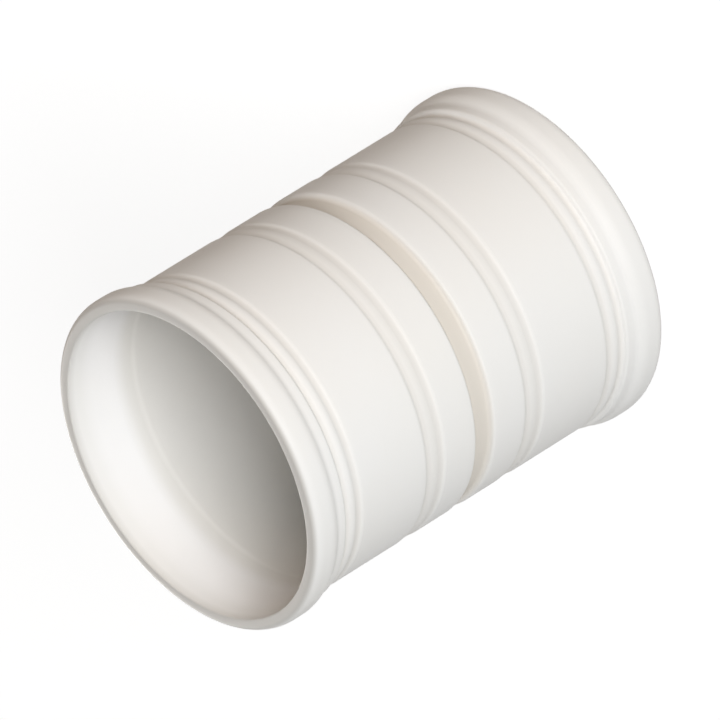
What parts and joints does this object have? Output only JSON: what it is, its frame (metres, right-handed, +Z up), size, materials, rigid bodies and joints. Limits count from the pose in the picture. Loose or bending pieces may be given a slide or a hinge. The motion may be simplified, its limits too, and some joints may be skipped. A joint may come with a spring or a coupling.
{
  "type": "pipe coupling",
  "caption": "Straight moulded plastic sleeve that joins condensate pipes end to end, with a rounded collar at each mouth, shallow rings and a groove round the middle.",
  "frame": {"origin": "middle of the lower mouth, on the plane the part stands on", "axes": "+Z up along the bore; X and Y are any two directions across it, because the part is round"},
  "size_m": [0.0474, 0.0474, 0.062],
  "materials": {
    "ivory_plastic": "satin moulded plastic, warm white"
  },
  "bodies": {
    "root": {"coupling": "ivory_plastic"}
  },
  "joints": []
}
